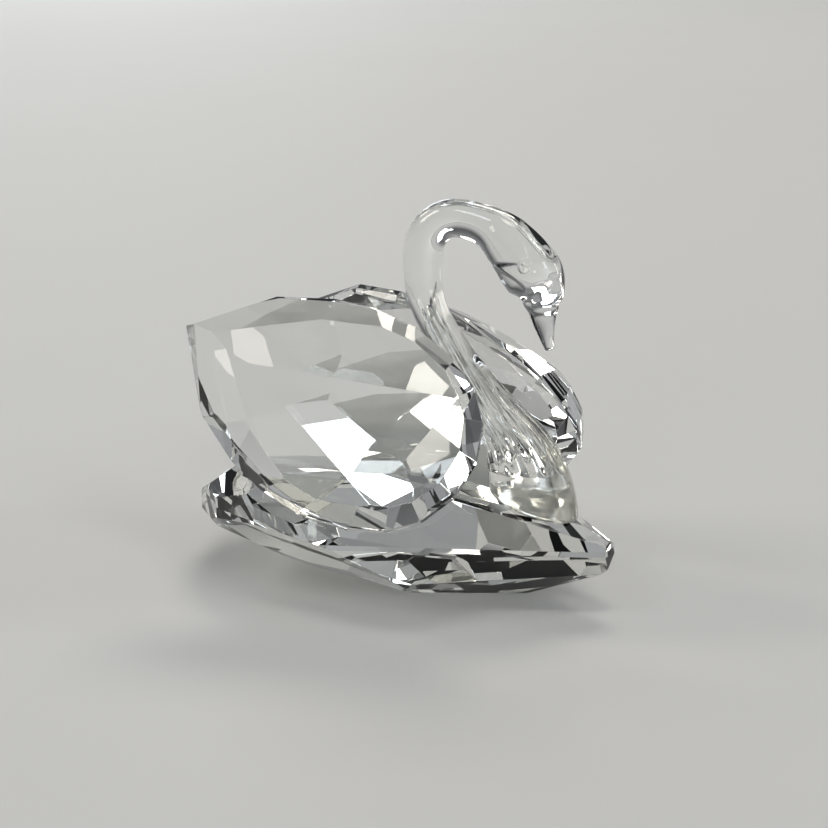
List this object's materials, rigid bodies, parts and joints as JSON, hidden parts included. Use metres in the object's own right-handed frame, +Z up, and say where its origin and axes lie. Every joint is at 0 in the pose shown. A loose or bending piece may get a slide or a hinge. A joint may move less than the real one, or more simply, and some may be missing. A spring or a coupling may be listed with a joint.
{
  "type": "crystal swan figurine",
  "caption": "Clear cut-crystal swan: a faceted boat-shaped base, pear-cut wings bonded to its flanks, and a moulded arched neck with head and beak.",
  "frame": {"origin": "on the flat resting facet under the base, in the plane of symmetry, 13.4 mm behind the facet's front corner", "axes": "+X the way the swan faces, +Y towards the swan's left wing, +Z up"},
  "size_m": [0.073, 0.0568, 0.0618],
  "materials": {
    "base_crystal": "cut and polished lead crystal, colourless with a faint warm green tint",
    "wing_crystal": "cut and polished lead crystal, colourless",
    "neck_crystal": "moulded, fire-polished crystal, colourless",
    "clear_adhesive": "clear cured adhesive, slightly yellow at its edge"
  },
  "bodies": {
    "root": {"base": "base_crystal", "wing_right": "wing_crystal", "wing_left": "wing_crystal", "neck": "neck_crystal", "film_neck": "clear_adhesive", "film_wing_right": "clear_adhesive", "film_wing_left": "clear_adhesive"}
  },
  "joints": []
}
